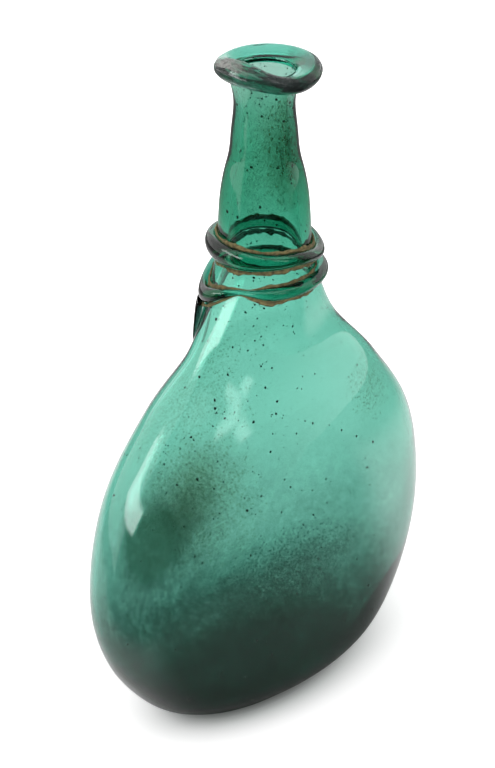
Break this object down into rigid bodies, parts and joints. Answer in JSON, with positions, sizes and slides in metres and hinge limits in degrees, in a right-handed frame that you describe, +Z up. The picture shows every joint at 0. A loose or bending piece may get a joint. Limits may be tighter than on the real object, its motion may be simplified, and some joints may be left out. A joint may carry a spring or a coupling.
{
  "type": "saddle flask",
  "caption": "Free-blown saddle flask: flattened green glass body, tall neck, thick rolled lip, wound trails at the root of the neck and a hanging drop.",
  "frame": {"origin": "on the table, below the middle of the body, at the centre of the foot", "axes": "+Z up along the neck, X along the wide side of the flattened body, Y through its thin side"},
  "size_m": [0.1511, 0.069, 0.2394],
  "materials": {
    "bubble_glass": "blown, glossy, weathered inside",
    "lip_glass": "thick, glossy, dulled on the crest",
    "trail_glass": "thick wound glass, glossy, soil in its seams",
    "dark_glass": "thick dark drop, weathered to a grey skin"
  },
  "bodies": {
    "root": {"blown_bubble": "bubble_glass", "rolled_lip": "lip_glass", "upper_trail": "trail_glass", "lower_trail": "trail_glass", "trail_drop": "dark_glass", "pontil_scar": "bubble_glass"}
  },
  "joints": []
}
